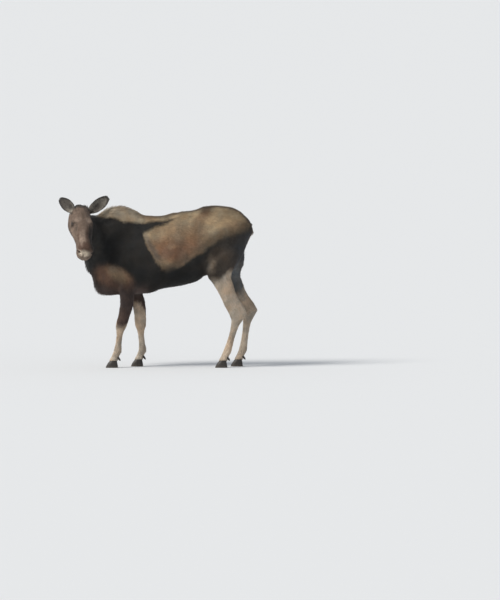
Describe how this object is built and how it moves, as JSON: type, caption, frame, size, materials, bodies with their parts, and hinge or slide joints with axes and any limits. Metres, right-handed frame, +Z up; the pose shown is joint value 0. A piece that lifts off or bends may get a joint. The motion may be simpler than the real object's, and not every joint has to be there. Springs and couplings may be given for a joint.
{
  "type": "moose",
  "caption": "Life-size cow moose in her winter coat, standing still and looking round to her left, as a museum shows one.",
  "frame": {"origin": "on the floor, under the middle of the bounding box", "axes": "+Z up, -X the way her body faces, -Y her left side, which is the side her head is turned to"},
  "size_m": [2.1782, 1.0876, 1.8908],
  "materials": {
    "coat": "thick winter hair, olive to red brown, darker below",
    "face_hair": "short flat hair, grey brown with a pale nose",
    "leg_hair": "short flat hair, pale grey beige",
    "horn": "dark horn, dull",
    "eye": "wet dark brown"
  },
  "bodies": {
    "root": {"head": "face_hair", "neck": "coat", "shoulders": "coat", "barrel": "coat", "hindquarters": "coat", "tail": "coat", "ear_left": "face_hair", "ear_right": "face_hair", "eye_left": "eye", "eye_right": "eye", "foreleg_left_upper": "coat", "foreleg_left_lower": "leg_hair", "foreleg_left_hoof_inner": "horn", "foreleg_left_hoof_outer": "horn", "foreleg_left_dewclaw_inner": "horn", "foreleg_left_dewclaw_outer": "horn", "foreleg_right_upper": "coat", "foreleg_right_lower": "leg_hair", "foreleg_right_hoof_inner": "horn", "foreleg_right_hoof_outer": "horn", "foreleg_right_dewclaw_inner": "horn", "foreleg_right_dewclaw_outer": "horn", "hindleg_left_upper": "leg_hair", "hindleg_left_lower": "leg_hair", "hindleg_left_hoof_inner": "horn", "hindleg_left_hoof_outer": "horn", "hindleg_left_dewclaw_inner": "horn", "hindleg_left_dewclaw_outer": "horn", "hindleg_right_upper": "leg_hair", "hindleg_right_lower": "leg_hair", "hindleg_right_hoof_inner": "horn", "hindleg_right_hoof_outer": "horn", "hindleg_right_dewclaw_inner": "horn", "hindleg_right_dewclaw_outer": "horn"}
  },
  "joints": []
}
